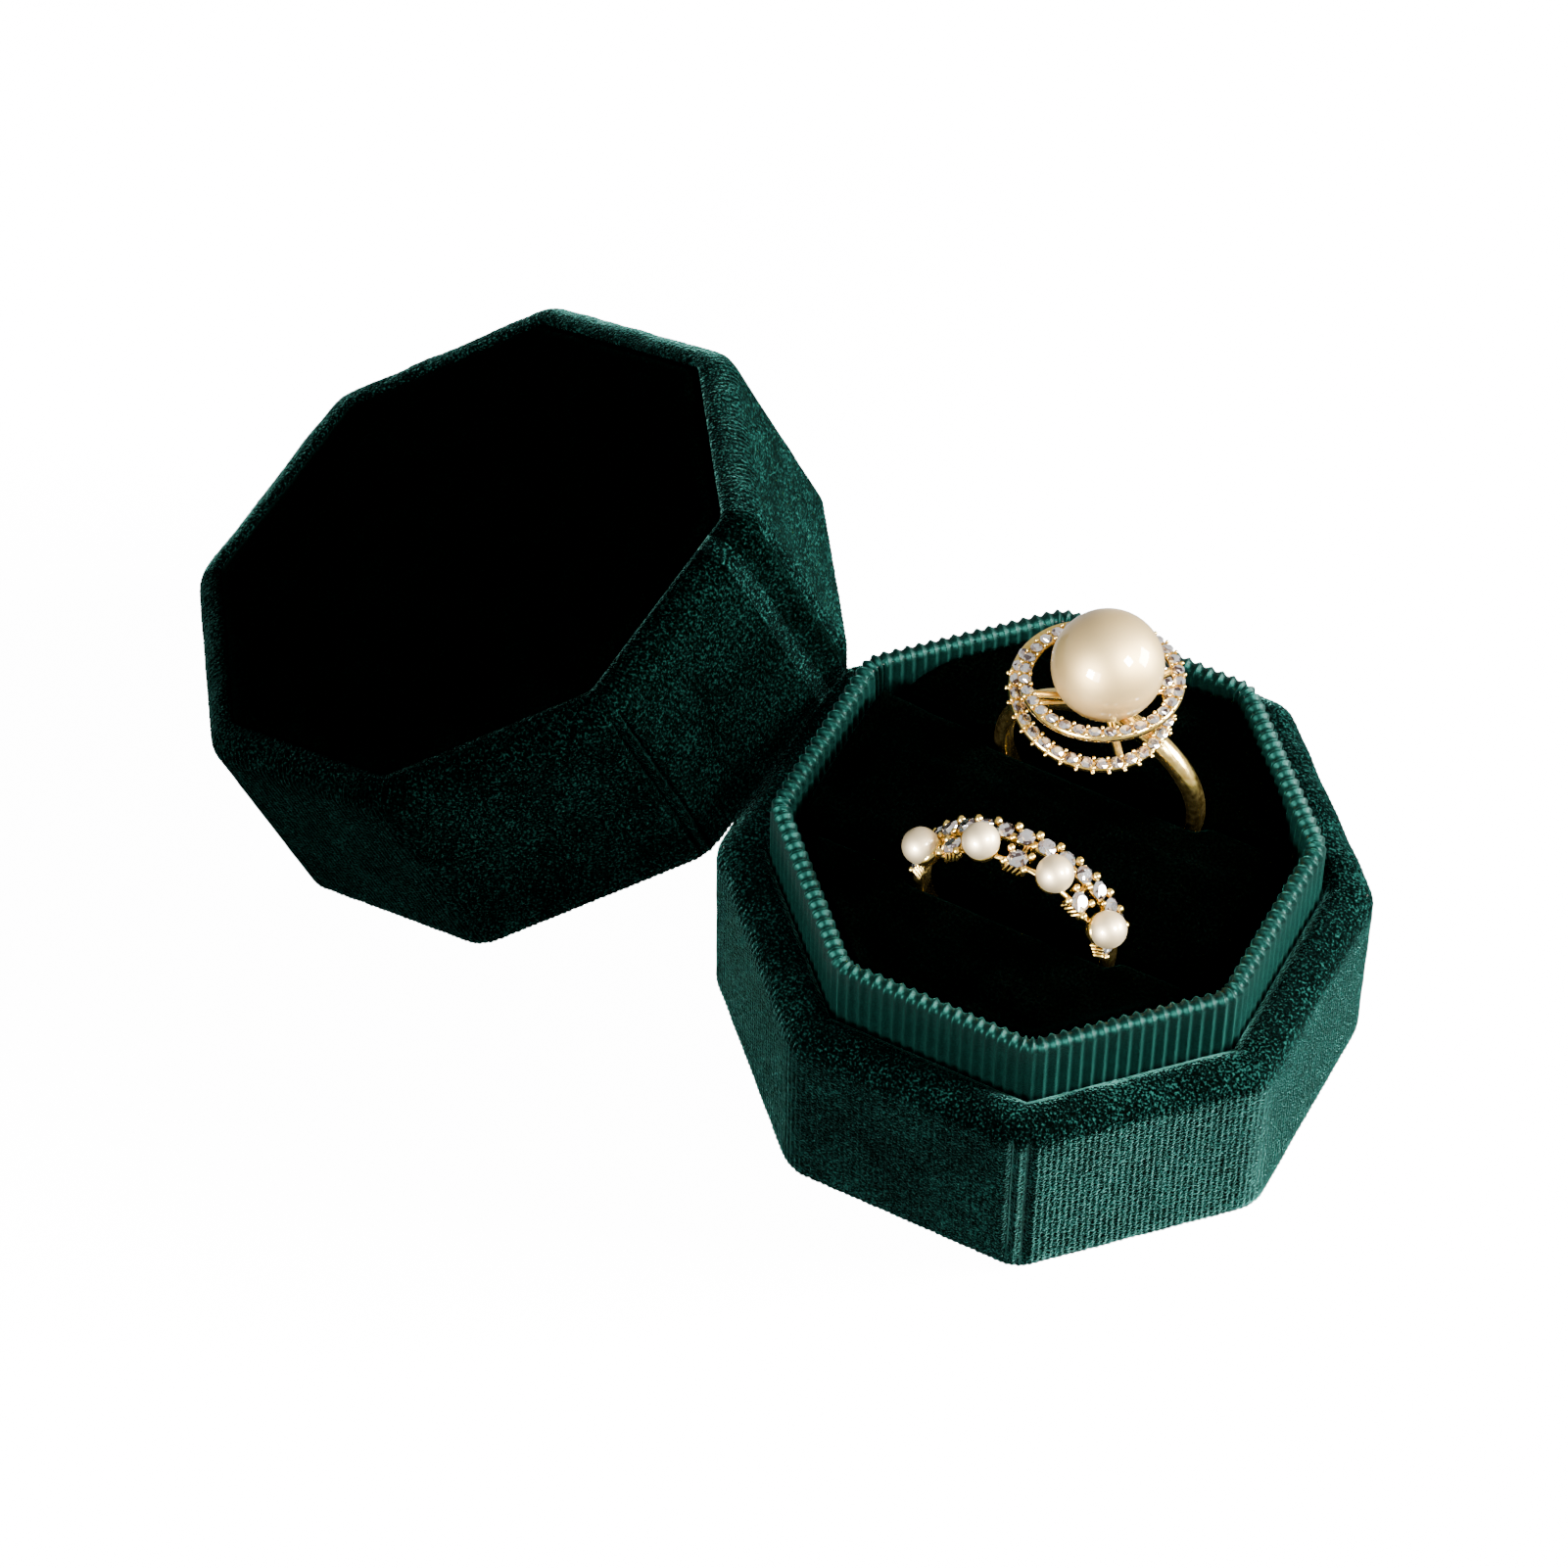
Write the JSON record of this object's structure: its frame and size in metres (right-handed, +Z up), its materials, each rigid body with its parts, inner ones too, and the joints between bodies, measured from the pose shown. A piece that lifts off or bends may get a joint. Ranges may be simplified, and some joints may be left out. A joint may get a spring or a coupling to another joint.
{
  "type": "ring box",
  "caption": "Octagonal velvet ring box with a lift-off lid leaning on the base, and a pearl halo ring and a pearl band in its slotted pad.",
  "frame": {"origin": "middle of the base's underside, on the surface that it stands on", "axes": "+Z up; +X along the slots in the pad, away from the leaning lid; +Y across the slots, towards the pearl halo ring"},
  "size_m": [0.1124, 0.0601, 0.0461],
  "materials": {
    "ribbed_velvet": "matte",
    "plain_velvet": "matte",
    "ribbed_cloth": "matte",
    "cloth_smooth": "matte",
    "greyboard": "matte",
    "card": "matte",
    "foam": "matte",
    "gold": "polished",
    "pearl": "gloss",
    "cut_stone": "gloss"
  },
  "bodies": {
    "base": {"foot_cover": "cloth_smooth", "base_floor_board": "greyboard", "base_wall_board": "greyboard", "base_wrap": "ribbed_velvet", "collar_board": "greyboard", "collar_wrap": "ribbed_cloth", "insert_card": "card", "foam_roll_front": "foam", "foam_roll_middle": "foam", "foam_roll_back": "foam", "velvet_sleeve_front": "plain_velvet", "velvet_sleeve_middle": "plain_velvet", "velvet_sleeve_back": "plain_velvet"},
    "lid": {"lid_wall_board": "greyboard", "lid_top_board": "greyboard", "lid_wadding": "foam", "lid_top_cover": "plain_velvet", "lid_wrap": "ribbed_velvet", "lid_side_lining": "cloth_smooth", "lid_lining_foam": "foam", "lid_lining_cloth": "cloth_smooth"},
    "pearl_ring": {"pearl_ring_shank": "gold", "pearl_ring_setting": "gold", "big_pearl": "pearl", "halo_stones": "cut_stone"},
    "band_ring": {"band_ring_shank": "gold", "band_ring_gallery": "gold", "small_pearl_1": "pearl", "small_pearl_2": "pearl", "small_pearl_3": "pearl", "small_pearl_4": "pearl", "band_stones": "cut_stone"}
  },
  "joints": [
    {"name": "lid_lift", "type": "slide", "parent": "base", "child": "lid", "axis": [0, 0, 1], "range_m": [0, 0.06]},
    {"name": "pearl_ring_pull", "type": "slide", "parent": "base", "child": "pearl_ring", "axis": [0, 0, 1], "range_m": [-0.0082, 0.03]},
    {"name": "band_ring_pull", "type": "slide", "parent": "base", "child": "band_ring", "axis": [0, 0, 1], "range_m": [0, 0.03]}
  ]
}
